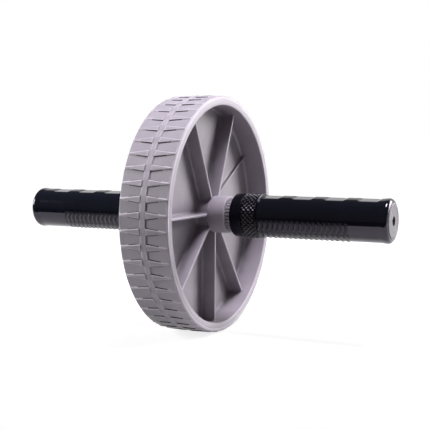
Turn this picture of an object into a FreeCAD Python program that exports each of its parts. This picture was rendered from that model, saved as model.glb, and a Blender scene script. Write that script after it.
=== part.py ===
import FreeCAD, Part
import math
import os
import re
import Sketcher

# Ab wheel roller: a ribbed wheel with a cleated tyre turns on an axle between two hand grips.
# X runs along the axle, +Z is up, and the origin is the middle of the axle.

# Driving sizes, in millimetres and degrees.
SIZES = {
    # Tyre and its tread.
    "tread_radius": 90.0,
    "tread_width": 39.0,
    "cleat_height": 1.0,
    "cleat_root_width": 4.9,
    "cleat_tip_width": 0.9,
    "cleat_tip_margin": 1.0,
    "cleat_root_depth": 0.6,
    "cleat_count": 50,
    "centre_rib_width": 5.0,
    "centre_rib_drop": 0.4,
    "tyre_thickness": 2.5,
    "tyre_edge": 1.2,
    "key_width": 8.0,
    "key_height": 0.8,
    # Wheel.
    "rim_wall": 4.0,
    "rim_edge": 0.8,
    "web_thickness": 2.6,
    "rib_thickness": 1.8,
    "rib_reach": 12.2,
    "low_rib_reach": 3.9,
    "rib_angle_1": 25.0,
    "rib_angle_2": 89.0,
    "rib_angle_3": 133.0,
    "rib_angle_4": 179.0,
    "rib_angle_5": 216.0,
    "rib_angle_6": 259.0,
    "rib_angle_7": 300.0,
    "rib_angle_8": 336.0,
    "hub_length": 50.5,
    "hub_wall": 4.98,
    "hub_edge": 0.6,
    "neck_drop": 1.5,
    "neck_lap": 0.4,
    # Axle, its bushes and its rings.
    "axle_radius": 6.0,
    "bush_wall": 2.95,
    "bush_length": 16.0,
    "bush_lip": 2.5,
    "bush_lip_thickness": 1.5,
    "spacer_length": 4.65,
    "spacer_wall": 6.58,
    "spacer_edge": 0.4,
    "notch_count": 30,
    "notch_width": 1.2,
    "notch_depth": 0.7,
    "groove_depth": 0.7,
    "ring_thickness": 1.2,
    "ring_width": 3.4,
    "ring_gap_angle": 24.0,
    # Handle.
    "core_wall": 5.5,
    "flange_length": 9.2,
    "flange_lip": 4.7,
    "flange_edge": 1.0,
    "collar_length": 12.9,
    "collar_wall": 5.25,
    "collar_rim_width": 1.3,
    "collar_band_drop": 0.5,
    "grip_length": 97.7,
    "grip_wall": 4.15,
    "grip_rim_height": 0.4,
    "grip_rim_width": 3.0,
    "grip_edge": 2.6,
    "mouth_depth": 2.0,
    "scoop_count": 4,
    "scoop_pitch": 24.65,
    "scoop_floor": 12.6,
    "scoop_slope": 2.6,
    "scoop_depth": 1.2,
    "scoop_tilt": 12.0,
    "scoop_margin_left": 24.0,
    "scoop_margin_right": 16.35,
    # End fixing.
    "socket_step": 3.0,
    "cap_thickness": 2.5,
    "cap_lip": 1.4,
    "cap_edge": 0.6,
    "spigot_length": 6.0,
    "key_hole_radius": 2.4,
    "key_gap": 1.5,
    "screw_radius": 2.5,
    "screw_length": 20.0,
    "head_height": 5.0,
    "head_lip": 1.75,
    "hex_across_flats": 4.0,
    "hex_depth": 2.5,
    "washer_thickness": 1.5,
    "thread_runout": 2.0,
    # Clearances, each one a gap on one side.
    "running_clearance": 0.05,
    "seat_clearance": 0.02,
    "face_gap": 0.3,
    "ring_clearance": 0.3,
    "washer_clearance": 0.3,
    "axle_end_gap": 0.5,
}

RIB_COUNT = 8
LOW_RIBS = (7,)
FULL_TURN = 360.0
HALF_HEX_SIDE_ANGLE = 30.0
SHEET = "sizes"
X_AXIS = FreeCAD.Vector(1, 0, 0)

# Stations along the axle, measured from the middle of the wheel.
RIM_END = "tread_width / 2"
HUB_END = "hub_length / 2"
SPACER_START = HUB_END + " + face_gap"
SPACER_END = SPACER_START + " + spacer_length"
RING_END = SPACER_END + " + ring_thickness"
GROOVE_END = RING_END + " + ring_clearance"
FLANGE_END = SPACER_END + " + flange_length"
COLLAR_END = FLANGE_END + " + collar_length"
GRIP_END = COLLAR_END + " + grip_length"
CAP_SEAT = GRIP_END + " - mouth_depth"
CAP_END = CAP_SEAT + " + cap_thickness"
SPIGOT_START = CAP_SEAT + " - spigot_length"
HEAD_END = SPIGOT_START + " - key_gap"
HEAD_START = HEAD_END + " - head_height"
SHOULDER = HEAD_START + " - washer_thickness"
AXLE_END = SHOULDER + " - axle_end_gap"
SCREW_TIP = HEAD_START + " - screw_length"
THREAD_END = SCREW_TIP + " - thread_runout"

# Radii of the wheel.
TYRE_BASE = "tread_radius - cleat_height"
CENTRE_RIB = "tread_radius - centre_rib_drop"
TYRE_BORE = TYRE_BASE + " - tyre_thickness"
KEY_CREST = TYRE_BORE + " - key_height"
RIM_RADIUS = TYRE_BORE + " - seat_clearance"
RIM_BORE = RIM_RADIUS + " - rim_wall"
BUSH_BORE = "axle_radius + running_clearance"
BUSH_RADIUS = BUSH_BORE + " + bush_wall"
LIP_RADIUS = BUSH_RADIUS + " + bush_lip"
HUB_BORE = BUSH_RADIUS + " + seat_clearance"
LIP_SEAT = LIP_RADIUS + " + seat_clearance"
HUB_RADIUS = HUB_BORE + " + hub_wall"
NECK_RADIUS = HUB_RADIUS + " - neck_drop"

# Radii of the handle.
AXLE_SEAT = "axle_radius + seat_clearance"
SPACER_RADIUS = AXLE_SEAT + " + spacer_wall"
GROOVE_RADIUS = "axle_radius - groove_depth"
RING_BORE = GROOVE_RADIUS + " + seat_clearance"
RING_RADIUS = RING_BORE + " + ring_width"
RING_RECESS = RING_RADIUS + " + ring_clearance"
CORE_RADIUS = AXLE_SEAT + " + core_wall"
FLANGE_RADIUS = CORE_RADIUS + " + flange_lip"
SLEEVE_BORE = CORE_RADIUS + " + seat_clearance"
COLLAR_RADIUS = SLEEVE_BORE + " + collar_wall"
GRIP_RADIUS = SLEEVE_BORE + " + grip_wall"
GRIP_RIM = GRIP_RADIUS + " + grip_rim_height"
SOCKET_RADIUS = AXLE_SEAT + " + socket_step"
SPIGOT_RADIUS = SOCKET_RADIUS + " - seat_clearance"
WASHER_RADIUS = SOCKET_RADIUS + " - washer_clearance"
CAP_RADIUS = CORE_RADIUS + " + cap_lip"
MOUTH_RADIUS = CAP_RADIUS + " + seat_clearance"
HEAD_RADIUS = "screw_radius + head_lip"
THREAD_BORE = "screw_radius + seat_clearance"
WASHER_BORE = "screw_radius + washer_clearance"

SIDES = {"left": "-1", "right": "1"}


def cells(expression):
    """Point every size named in an expression at its cell in the sheet."""
    return re.sub(r"\b[a-z]\w*\b(?!\()", SHEET + r".\g<0>", expression)


def make_sheet(document):
    """Put every driving size in a cell of its own, under its own name."""
    sheet = document.addObject("Spreadsheet::Sheet", SHEET)
    for row, (name, value) in enumerate(SIZES.items(), start=1):
        sheet.set(f"A{row}", name)
        sheet.set(f"B{row}", str(value))
        sheet.setAlias(f"B{row}", name)
    document.recompute()


def origin_feature(body, role):
    """Find one of a body's own origin planes or axes."""
    return next(item for item in body.Origin.OriginFeatures if item.Role == role)


def polygon_sketch(body, name, plane, corners):
    """Draw a closed outline whose corners are pairs of expressions."""
    sketch = body.newObject("Sketcher::SketchObject", name)
    sketch.AttachmentSupport = [(origin_feature(body, plane), "")]
    sketch.MapMode = "FlatFace"
    count = len(corners)
    turns = [math.tau * index / count for index in range(count)]
    points = [FreeCAD.Vector(math.cos(turn), math.sin(turn), 0) for turn in turns]
    for index in range(count):
        sketch.addGeometry(Part.LineSegment(points[index], points[(index + 1) % count]), False)
    joins = [Sketcher.Constraint("Coincident", index, 2, (index + 1) % count, 1) for index in range(count)]
    sketch.addConstraint(joins)
    for index, corner in enumerate(corners):
        for kind, start, expression in zip(("DistanceX", "DistanceY"), points[index], corner):
            place = sketch.addConstraint(Sketcher.Constraint(kind, -1, 1, index, 1, start))
            sketch.setExpression(f"Constraints[{place}]", cells(expression))
    return sketch


def add_feature(body, kind, name, profile, **sizes):
    """Add a feature made from a sketch, with its sizes bound to expressions."""
    feature = body.newObject("PartDesign::" + kind, name)
    feature.Profile = profile
    for size, expression in sizes.items():
        feature.setExpression(size, cells(expression))
    return feature


def turned_body(document, label, outline, side="1", angle=str(FULL_TURN)):
    """Turn an outline of (station, radius) pairs about the axle."""
    body = document.addObject("PartDesign::Body", label)
    corners = [(f"{side} * ({station})", radius) for station, radius in outline]
    sketch = polygon_sketch(body, label + "_outline", "XZ_Plane", corners)
    turned = add_feature(body, "Revolution", label + "_turned", sketch, Angle=angle)
    turned.ReferenceAxis = (sketch, ["H_Axis"])
    document.recompute()
    return body


def mirrored(outline):
    """Complete a half outline with its mirror image about the middle of the wheel."""
    return outline + [(f"-({station})", radius) for station, radius in reversed(outline)]


def pattern_round_axle(body, name, feature, count):
    """Repeat a feature evenly round the axle."""
    pattern = body.newObject("PartDesign::PolarPattern", name)
    pattern.Originals = [feature]
    pattern.Axis = (origin_feature(body, "X_Axis"), [""])
    pattern.Angle = FULL_TURN
    pattern.setExpression("Occurrences", cells(count))
    body.Tip = pattern
    return pattern


def make_tyre(document):
    """Cleated ring: wedges in two rows taper from a plain centre rib to the edges."""
    key = "key_width / 2"
    root = "centre_rib_width / 2"
    tip = RIM_END + " - cleat_tip_margin"
    body = turned_body(document, "tread_tyre", mirrored([
        (key, KEY_CREST),
        (key, TYRE_BORE),
        (RIM_END, TYRE_BORE),
        (RIM_END, TYRE_BASE + " - tyre_edge"),
        (RIM_END + " - tyre_edge", TYRE_BASE),
        (root, TYRE_BASE),
        (root, CENTRE_RIB),
    ]))
    half_outline = [
        (tip, "-cleat_tip_width / 2"),
        (tip, "cleat_tip_width / 2"),
        (root, "cleat_root_width / 2"),
    ]
    outline = half_outline + [(f"-({along})", f"-({across})") for along, across in half_outline]
    sketch = polygon_sketch(body, "cleat_outline", "XY_Plane", outline)
    sketch.setExpression("AttachmentOffset.Base.z", cells("-tread_radius"))
    cleat = add_feature(body, "Pad", "cleat", sketch, Length="cleat_height + cleat_root_depth")
    pattern_round_axle(body, "cleats", cleat, "cleat_count")
    document.recompute()
    clear = "tread_radius + cleat_height"
    band = polygon_sketch(body, "centre_rib_top_outline", "XZ_Plane", [
        (root, CENTRE_RIB),
        (root, clear),
        (f"-({root})", clear),
        (f"-({root})", CENTRE_RIB),
    ])
    groove = add_feature(body, "Groove", "centre_rib_top", band, Angle=str(FULL_TURN))
    groove.ReferenceAxis = (band, ["H_Axis"])
    return body


def make_wheel(document):
    """Moulded wheel: hub with a slim neck, thin web, drum rim and radial ribs on both sides."""
    web = "web_thickness / 2"
    neck_end = "rib_reach - neck_lap"
    key = "key_width / 2 + seat_clearance"
    lip_floor = HUB_END + " - bush_lip_thickness"
    body = turned_body(document, "wheel_body", mirrored([
        (lip_floor, HUB_BORE),
        (lip_floor, LIP_SEAT),
        (HUB_END, LIP_SEAT),
        (HUB_END, HUB_RADIUS + " - hub_edge"),
        (HUB_END + " - hub_edge", HUB_RADIUS),
        (neck_end, HUB_RADIUS),
        (neck_end, NECK_RADIUS),
        (web, NECK_RADIUS),
        (web, RIM_BORE),
        (RIM_END, RIM_BORE),
        (RIM_END, RIM_RADIUS + " - rim_edge"),
        (RIM_END + " - rim_edge", RIM_RADIUS),
        (key, RIM_RADIUS),
        (key, KEY_CREST + " - seat_clearance"),
    ]))
    half = "rib_thickness / 2"
    foot = HUB_RADIUS + " - hub_wall / 2"
    head = RIM_BORE + " + rim_wall / 2"
    for number in range(1, RIB_COUNT + 1):
        corners = [(f"-{half}", foot), (half, foot), (half, head), (f"-{half}", head)]
        sketch = polygon_sketch(body, f"rib_{number}_outline", "YZ_Plane", corners)
        sketch.setExpression("AttachmentOffset.Rotation.Angle", cells(f"rib_angle_{number}"))
        reach = "low_rib_reach" if number in LOW_RIBS else "rib_reach"
        rib = add_feature(body, "Pad", f"rib_{number}", sketch, Length=f"2 * {reach}")
        rib.SideType = "Symmetric"
    return body


def make_axle(document):
    """Steel rod with a ring groove beside each spacer and a tapped hole in each end."""
    return turned_body(document, "axle_rod", mirrored([
        (THREAD_END, "0"),
        (THREAD_END, THREAD_BORE),
        (AXLE_END, THREAD_BORE),
        (AXLE_END, "axle_radius"),
        (GROOVE_END, "axle_radius"),
        (GROOVE_END, GROOVE_RADIUS),
        (SPACER_END, GROOVE_RADIUS),
        (SPACER_END, "axle_radius"),
    ]))


def make_bush(document, name, side):
    """Plain bearing pressed into one end of the hub, its lip flush with the hub's face."""
    inner = HUB_END + " - bush_length"
    lip_floor = HUB_END + " - bush_lip_thickness"
    return turned_body(document, "hub_bush_" + name, [
        (inner, BUSH_BORE),
        (inner, BUSH_RADIUS),
        (lip_floor, BUSH_RADIUS),
        (lip_floor, LIP_RADIUS),
        (HUB_END, LIP_RADIUS),
        (HUB_END, BUSH_BORE),
    ], side)


def make_spacer(document, name, side):
    """Notched ring on the axle that keeps the hub away from the handle."""
    label = "spacer_ring_" + name
    body = turned_body(document, label, [
        (SPACER_START, AXLE_SEAT),
        (SPACER_START, SPACER_RADIUS + " - spacer_edge"),
        (SPACER_START + " + spacer_edge", SPACER_RADIUS),
        (SPACER_END + " - spacer_edge", SPACER_RADIUS),
        (SPACER_END, SPACER_RADIUS + " - spacer_edge"),
        (SPACER_END, AXLE_SEAT),
    ], side)
    half = "notch_width / 2"
    floor = SPACER_RADIUS + " - notch_depth"
    clear = SPACER_RADIUS + " + notch_depth"
    corners = [(f"-{half}", floor), (half, floor), (half, clear), (f"-{half}", clear)]
    sketch = polygon_sketch(body, label + "_notch_outline", "YZ_Plane", corners)
    notch = add_feature(body, "Pocket", label + "_notch", sketch, Length=f"2 * ({SPACER_END})")
    notch.SideType = "Symmetric"
    pattern_round_axle(body, label + "_notches", notch, "notch_count")
    return body


def make_retaining_ring(document, name, side):
    """Split ring in the axle's groove, inside a recess of the handle's flange."""
    return turned_body(document, "retaining_ring_" + name, [
        (SPACER_END, RING_BORE),
        (SPACER_END, RING_RADIUS),
        (RING_END, RING_RADIUS),
        (RING_END, RING_BORE),
    ], side, angle=f"{FULL_TURN} - ring_gap_angle")


def make_core(document, name, side):
    """Tube on the axle with a flange beside the wheel and a socket in its outer end."""
    return turned_body(document, "handle_core_" + name, [
        (SPACER_END, RING_RECESS),
        (SPACER_END, FLANGE_RADIUS + " - flange_edge"),
        (SPACER_END + " + flange_edge", FLANGE_RADIUS),
        (FLANGE_END, FLANGE_RADIUS),
        (FLANGE_END, CORE_RADIUS),
        (CAP_SEAT, CORE_RADIUS),
        (CAP_SEAT, SOCKET_RADIUS),
        (SHOULDER, SOCKET_RADIUS),
        (SHOULDER, AXLE_SEAT),
        (GROOVE_END, AXLE_SEAT),
        (GROOVE_END, RING_RECESS),
    ], side)


def make_collar(document, name, side):
    """Knurled ring: a sunk band between two thin rims."""
    band = COLLAR_RADIUS + " - collar_band_drop"
    return turned_body(document, "knurled_collar_" + name, [
        (FLANGE_END, SLEEVE_BORE),
        (FLANGE_END, COLLAR_RADIUS),
        (FLANGE_END + " + collar_rim_width", COLLAR_RADIUS),
        (FLANGE_END + " + collar_rim_width", band),
        (COLLAR_END + " - collar_rim_width", band),
        (COLLAR_END + " - collar_rim_width", COLLAR_RADIUS),
        (COLLAR_END, COLLAR_RADIUS),
        (COLLAR_END, SLEEVE_BORE),
    ], side)


def make_grip(document, name, side):
    """Sleeve with finger scoops along its top, a flared outer end and a mouth for the cap."""
    label = "grip_" + name
    rim_start = GRIP_END + " - grip_rim_width"
    body = turned_body(document, label, [
        (COLLAR_END, SLEEVE_BORE),
        (COLLAR_END, GRIP_RADIUS),
        (rim_start + " - grip_rim_height", GRIP_RADIUS),
        (rim_start, GRIP_RIM),
        (GRIP_END + " - grip_edge", GRIP_RIM),
        (GRIP_END, GRIP_RIM + " - grip_edge"),
        (GRIP_END, MOUTH_RADIUS),
        (CAP_SEAT, MOUTH_RADIUS),
        (CAP_SEAT, SLEEVE_BORE),
    ], side)
    centre = f"{GRIP_END} - scoop_margin_{name}"
    floor = GRIP_RADIUS + " - scoop_depth"
    clear = GRIP_RADIUS + " + scoop_depth"
    corners = [
        (f"{centre} - scoop_floor / 2", floor),
        (f"{centre} + scoop_floor / 2", floor),
        (f"{centre} + scoop_floor / 2 + 2 * scoop_slope", clear),
        (f"{centre} - scoop_floor / 2 - 2 * scoop_slope", clear),
    ]
    corners = [(f"{side} * ({station})", height) for station, height in corners]
    sketch = polygon_sketch(body, label + "_scoop_outline", "XZ_Plane", corners)
    sketch.AttachmentOffset = FreeCAD.Placement(FreeCAD.Vector(), FreeCAD.Rotation(X_AXIS, 1.0))
    sketch.setExpression("AttachmentOffset.Rotation.Angle", cells("scoop_tilt"))
    scoop = add_feature(body, "Pocket", label + "_scoop", sketch, Length=f"2 * ({GRIP_RIM})")
    scoop.SideType = "Symmetric"
    pattern = body.newObject("PartDesign::LinearPattern", label + "_scoops")
    pattern.Originals = [scoop]
    pattern.Direction = (origin_feature(body, "X_Axis"), [""])
    pattern.Reversed = name == "right"
    pattern.Mode = "Spacing"
    pattern.setExpression("Offset", cells("scoop_pitch"))
    pattern.setExpression("Occurrences", cells("scoop_count"))
    body.Tip = pattern
    return body


def make_cap(document, name, side):
    """Disc that closes the grip's mouth, with a spigot and a hole for a hex key."""
    return turned_body(document, "end_cap_" + name, [
        (SPIGOT_START, "key_hole_radius"),
        (SPIGOT_START, SPIGOT_RADIUS),
        (CAP_SEAT, SPIGOT_RADIUS),
        (CAP_SEAT, CAP_RADIUS),
        (CAP_END + " - cap_edge", CAP_RADIUS),
        (CAP_END, CAP_RADIUS + " - cap_edge"),
        (CAP_END, "key_hole_radius"),
    ], side)


def make_washer(document, name, side):
    """Washer between the screw's head and the floor of the handle's socket."""
    return turned_body(document, "cap_washer_" + name, [
        (SHOULDER, WASHER_BORE),
        (SHOULDER, WASHER_RADIUS),
        (HEAD_START, WASHER_RADIUS),
        (HEAD_START, WASHER_BORE),
    ], side)


def make_screw(document, name, side):
    """Socket screw that clamps the handle on the axle's end."""
    label = "cap_screw_" + name
    body = turned_body(document, label, [
        (SCREW_TIP, "0"),
        (SCREW_TIP, "screw_radius"),
        (HEAD_START, "screw_radius"),
        (HEAD_START, HEAD_RADIUS),
        (HEAD_END, HEAD_RADIUS),
        (HEAD_END, "0"),
    ], side)
    flat = "hex_across_flats / 2"
    point = f"{flat} / cos({HALF_HEX_SIDE_ANGLE})"
    half = f"{flat} * tan({HALF_HEX_SIDE_ANGLE})"
    corners = [(half, flat), (point, "0"), (half, f"-{flat}")]
    corners += [(f"-{across}", f"-{up}") for across, up in corners]
    sketch = polygon_sketch(body, label + "_hex_outline", "YZ_Plane", corners)
    sketch.setExpression("AttachmentOffset.Base.z", cells(f"{side} * ({HEAD_END})"))
    hexagon = add_feature(body, "Pocket", label + "_hex", sketch, Length="hex_depth")
    hexagon.Reversed = name == "left"
    return body


def check(document, bodies):
    """Stop if any object failed or any solid is missing, broken or in pieces."""
    for item in document.Objects:
        if "Invalid" in item.State or "Error" in item.State:
            raise RuntimeError(f"{item.Name} failed: {item.State}")
    for body in bodies:
        shape = body.Shape
        if shape.isNull() or not shape.isValid() or len(shape.Solids) != 1:
            raise RuntimeError(f"{body.Label} is not one valid solid")


def main():
    """Build every piece, check it and write it to its own file."""
    document = FreeCAD.newDocument("ab_wheel_roller")
    make_sheet(document)
    bodies = [make_tyre(document), make_wheel(document), make_axle(document)]
    makers = (make_bush, make_spacer, make_retaining_ring, make_core, make_collar, make_grip)
    makers += (make_cap, make_washer, make_screw)
    for name, side in SIDES.items():
        for maker in makers:
            bodies.append(maker(document, name, side))
    document.recompute()
    check(document, bodies)
    os.makedirs("parts", exist_ok=True)
    for body in bodies:
        body.Shape.exportStep(f"parts/{body.Label}.step")
        print(f"{body.Label}: {body.Shape.Volume:.0f} cubic millimetres")


main()
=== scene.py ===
import logging
import math
from abc import ABC, abstractmethod
from dataclasses import dataclass, field
from enum import Enum
from functools import cache
from typing import Callable, Sequence

import bmesh
import bpy
from mathutils import Matrix, Vector


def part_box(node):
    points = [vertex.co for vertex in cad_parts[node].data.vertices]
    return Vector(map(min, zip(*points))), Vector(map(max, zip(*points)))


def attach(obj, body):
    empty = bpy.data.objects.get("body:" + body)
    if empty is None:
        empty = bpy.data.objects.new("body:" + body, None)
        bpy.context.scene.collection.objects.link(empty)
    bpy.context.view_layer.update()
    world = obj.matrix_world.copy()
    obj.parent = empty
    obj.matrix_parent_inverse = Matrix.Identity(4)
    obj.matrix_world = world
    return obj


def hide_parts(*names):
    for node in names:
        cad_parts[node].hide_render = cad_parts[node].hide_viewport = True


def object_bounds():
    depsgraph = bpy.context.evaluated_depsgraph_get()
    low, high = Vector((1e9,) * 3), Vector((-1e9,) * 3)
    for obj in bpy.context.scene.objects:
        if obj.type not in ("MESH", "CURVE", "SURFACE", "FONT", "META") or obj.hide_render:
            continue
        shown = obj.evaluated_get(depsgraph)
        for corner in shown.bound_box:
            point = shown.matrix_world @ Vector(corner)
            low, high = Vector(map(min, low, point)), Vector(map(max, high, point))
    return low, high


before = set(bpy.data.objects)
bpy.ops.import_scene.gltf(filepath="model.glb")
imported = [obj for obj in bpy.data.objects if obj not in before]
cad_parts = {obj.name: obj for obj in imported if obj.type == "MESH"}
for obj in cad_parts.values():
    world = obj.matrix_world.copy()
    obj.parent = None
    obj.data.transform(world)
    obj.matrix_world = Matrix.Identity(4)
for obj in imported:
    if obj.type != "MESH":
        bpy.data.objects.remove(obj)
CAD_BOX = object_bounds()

# An ab wheel roller. Sizes are in millimetres and angles in degrees, and the frame is in metres.
# X runs along the axle, +Z is up, and -Y is the front.

MM = 0.001
QUARTER_TURN = math.tau / 4.0
WHITE = (1.0, 1.0, 1.0, 1.0)

# The part of a noise pattern's range that is used, and the pointiness of edges that stick out, where a
# highlight is painted.
NOISE_RANGE = (0.3, 0.7)
EDGE_RANGE = (0.515, 0.6)

# A mix node's colour sockets go by number, because its other sockets have the same names.
MIX_COLOURS = (6, 7)
MIX_RESULT = 2

Colour = tuple[float, float, float]
Pair = tuple[float, float]
Outline = list[Pair]
Material = bpy.types.Material
Socket = bpy.types.NodeSocket
Face = bpy.types.MeshPolygon

log = logging.getLogger("ab_wheel_roller")


class Side(Enum):
    """The two ends of the axle."""

    LEFT = -1
    RIGHT = 1

    def node(self, stem: str) -> str:
        """Name of this side's copy of a piece."""
        return f"{stem}_{self.name.lower()}"

    def place(self, outline: Outline) -> Outline:
        """Set an outline on this side of the wheel."""
        return [(self.value * along, radius) for along, radius in outline]


class Body(Enum):
    """The rigid bodies that pieces ride on."""

    HANDLE = "handle"
    WHEEL = "wheel"


class NodeSheet:
    """Lays out the nodes of one procedural material."""

    def __init__(self, name: str) -> None:
        """Start a material with a plain Principled shader.

        Args:
            name: The material's name.
        """
        self.material = bpy.data.materials.new(name)
        self.material.use_nodes = True
        self.tree = self.material.node_tree
        self.shader = self.tree.nodes["Principled BSDF"]
        self.place = self.tree.nodes.new("ShaderNodeTexCoord").outputs["Object"]

    def set(self, **values: object) -> None:
        """Set constant values on the shader's own sockets."""
        for name, value in values.items():
            self.shader.inputs[name.replace("_", " ")].default_value = value

    def link(self, source: Socket, socket: str) -> None:
        """Feed one of the shader's sockets from another node."""
        self.tree.links.new(source, self.shader.inputs[socket])

    def noise(self, grain: float, detail: float = 2.0, stretch: Colour = (1.0, 1.0, 1.0)) -> Socket:
        """Make a noise pattern at a real size.

        Args:
            grain: Size of one patch, in millimetres.
            detail: Octaves of finer noise.
            stretch: Scale along X, Y and Z.

        Returns:
            The socket that carries the pattern.
        """
        mapping = self.tree.nodes.new("ShaderNodeMapping")
        mapping.inputs["Scale"].default_value = stretch
        self.tree.links.new(self.place, mapping.inputs["Vector"])
        noise = self.tree.nodes.new("ShaderNodeTexNoise")
        noise.inputs["Scale"].default_value = 1.0 / (grain * MM)
        noise.inputs["Detail"].default_value = detail
        self.tree.links.new(mapping.outputs["Vector"], noise.inputs["Vector"])
        return noise.outputs["Fac"]

    def colours(self, source: Socket, low: Colour, high: Colour) -> Socket:
        """Turn a noise pattern into a range of colours.

        Args:
            source: The pattern.
            low: Colour of its low parts.
            high: Colour of its high parts.

        Returns:
            The socket that carries the colours.
        """
        ramp = self.tree.nodes.new("ShaderNodeValToRGB")
        start, end = ramp.color_ramp.elements
        start.position, end.position = NOISE_RANGE
        start.color, end.color = (*low, 1.0), (*high, 1.0)
        self.tree.links.new(source, ramp.inputs["Fac"])
        return ramp.outputs["Color"]

    def span(self, source: Socket, limits: Pair, low: float = 0.0, high: float = 1.0) -> Socket:
        """Carry one range of numbers over to another.

        Args:
            source: The numbers.
            limits: The range that counts. Numbers outside it are cut.
            low: What the range's start becomes.
            high: What the range's end becomes.

        Returns:
            The socket that carries the new numbers.
        """
        span = self.tree.nodes.new("ShaderNodeMapRange")
        start, end = limits
        for name, value in (("From Min", start), ("From Max", end), ("To Min", low), ("To Max", high)):
            span.inputs[name].default_value = value
        self.tree.links.new(source, span.inputs["Value"])
        return span.outputs["Result"]

    def edges(self) -> Socket:
        """1 on edges that stick out and 0 elsewhere, for painting highlights on them."""
        shape = self.tree.nodes.new("ShaderNodeNewGeometry")
        return self.span(shape.outputs["Pointiness"], EDGE_RANGE)

    def openness(self, reach: float, rays: int = 8) -> Socket:
        """Tell open places from corners, for painting shade into the corners.

        Args:
            reach: How far to look round, in millimetres.
            rays: In how many directions to look.

        Returns:
            The socket that carries 1 in the open and less in corners.
        """
        around = self.tree.nodes.new("ShaderNodeAmbientOcclusion")
        around.samples = rays
        around.only_local = True
        around.inputs["Distance"].default_value = reach * MM
        return around.outputs["AO"]

    def blend(self, share: Socket, low: Socket | Colour, high: Socket | Colour) -> Socket:
        """Mix two colours.

        Args:
            share: 0 for the first colour and 1 for the second.
            low: The first colour, as a value or from a node.
            high: The second colour, as a value or from a node.

        Returns:
            The socket that carries the mixed colour.
        """
        mix = self.tree.nodes.new("ShaderNodeMix")
        mix.data_type = "RGBA"
        self.tree.links.new(share, mix.inputs["Factor"])
        for number, colour in zip(MIX_COLOURS, (low, high)):
            if isinstance(colour, Socket):
                self.tree.links.new(colour, mix.inputs[number])
            else:
                mix.inputs[number].default_value = (*colour, 1.0)
        return mix.outputs[MIX_RESULT]

    def bump(self, source: Socket, height: float, strength: float) -> None:
        """Raise the surface by a pattern.

        Args:
            source: The pattern.
            height: Its height, in millimetres.
            strength: Share of the height that shows.
        """
        bump = self.tree.nodes.new("ShaderNodeBump")
        bump.inputs["Distance"].default_value = height * MM
        bump.inputs["Strength"].default_value = strength
        self.tree.links.new(source, bump.inputs["Height"])
        self.link(bump.outputs["Normal"], "Normal")


@dataclass(frozen=True)
class Finish(ABC):
    """What a surface is made of, and the record's slot that it stands for."""

    name: str
    slot: str
    colour: Colour
    roughness: float

    def shade(self, factor: float) -> Colour:
        """The finish's colour, made lighter or darker."""
        red, green, blue = self.colour
        return red * factor, green * factor, blue * factor

    @cache
    def material(self) -> Material:
        """The finish's material, made once and shared."""
        return self.build()

    @abstractmethod
    def build(self) -> Material:
        """Make the finish's material."""


FinishChoice = Callable[[Face], Finish]


@dataclass(frozen=True)
class MouldedPlastic(Finish):
    """Plastic with the faint clouding and fine grain of a mould, a painted highlight on edges that stick
    out and painted shade in corners.
    """

    clouding: float = 0.06
    cloud_size: float = 14.0
    cloud_detail: float = 4.0
    grain_size: float = 0.35
    grain_height: float = 0.03
    grain_strength: float = 0.25
    gloss_spread: float = 0.06
    specular: float = 0.5
    sheen: Colour = (1.0, 1.0, 1.0)
    # Painted highlight: how much lighter edges that stick out get. Painted shade: how much darker corners
    # get, and how far round it looks, in millimetres.
    edge_highlight: float = 0.3
    corner: float = 0.3
    corner_reach: float = 1.5

    def build(self) -> Material:
        """Make the plastic's material.

        Returns:
            The new material.
        """
        sheet = NodeSheet(self.name)
        sheet.set(Specular_IOR_Level=self.specular, Specular_Tint=(*self.sheen, 1.0))
        cloud = sheet.noise(self.cloud_size, self.cloud_detail)
        grain = sheet.noise(self.grain_size)
        plain = sheet.colours(cloud, self.shade(1.0 - self.clouding), self.shade(1.0 + self.clouding))
        # Painted highlight on edges that stick out, then painted shade in corners.
        highlighted = sheet.blend(sheet.edges(), plain, self.shade(1.0 + self.edge_highlight))
        shaded = sheet.blend(sheet.openness(self.corner_reach), self.shade(1.0 - self.corner), highlighted)
        sheet.link(shaded, "Base Color")
        low, high = self.roughness - self.gloss_spread, self.roughness + self.gloss_spread
        sheet.link(sheet.span(cloud, NOISE_RANGE, low, high), "Roughness")
        sheet.bump(grain, self.grain_height, self.grain_strength)
        return sheet.material


@dataclass(frozen=True)
class TurnedSteel(Finish):
    """Steel with fine tool marks round the axle, and a painted highlight on edges that stick out."""

    mark_size: float = 0.25
    mark_stretch: Colour = (1.0, 0.05, 0.05)
    mark_height: float = 0.01
    mark_strength: float = 0.3
    mark_shade: float = 0.9
    edge_highlight: float = 0.25
    gloss_low: float = 0.8
    gloss_high: float = 1.3

    def build(self) -> Material:
        """Make the steel's material.

        Returns:
            The new material.
        """
        sheet = NodeSheet(self.name)
        sheet.set(Metallic=1.0)
        marks = sheet.noise(self.mark_size, stretch=self.mark_stretch)
        plain = sheet.colours(marks, self.shade(self.mark_shade), self.colour)
        # Painted highlight on edges that stick out.
        sheet.link(sheet.blend(sheet.edges(), plain, self.shade(1.0 + self.edge_highlight)), "Base Color")
        low, high = self.roughness * self.gloss_low, self.roughness * self.gloss_high
        sheet.link(sheet.span(marks, NOISE_RANGE, low, high), "Roughness")
        sheet.bump(marks, self.mark_height, self.mark_strength)
        return sheet.material


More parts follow.
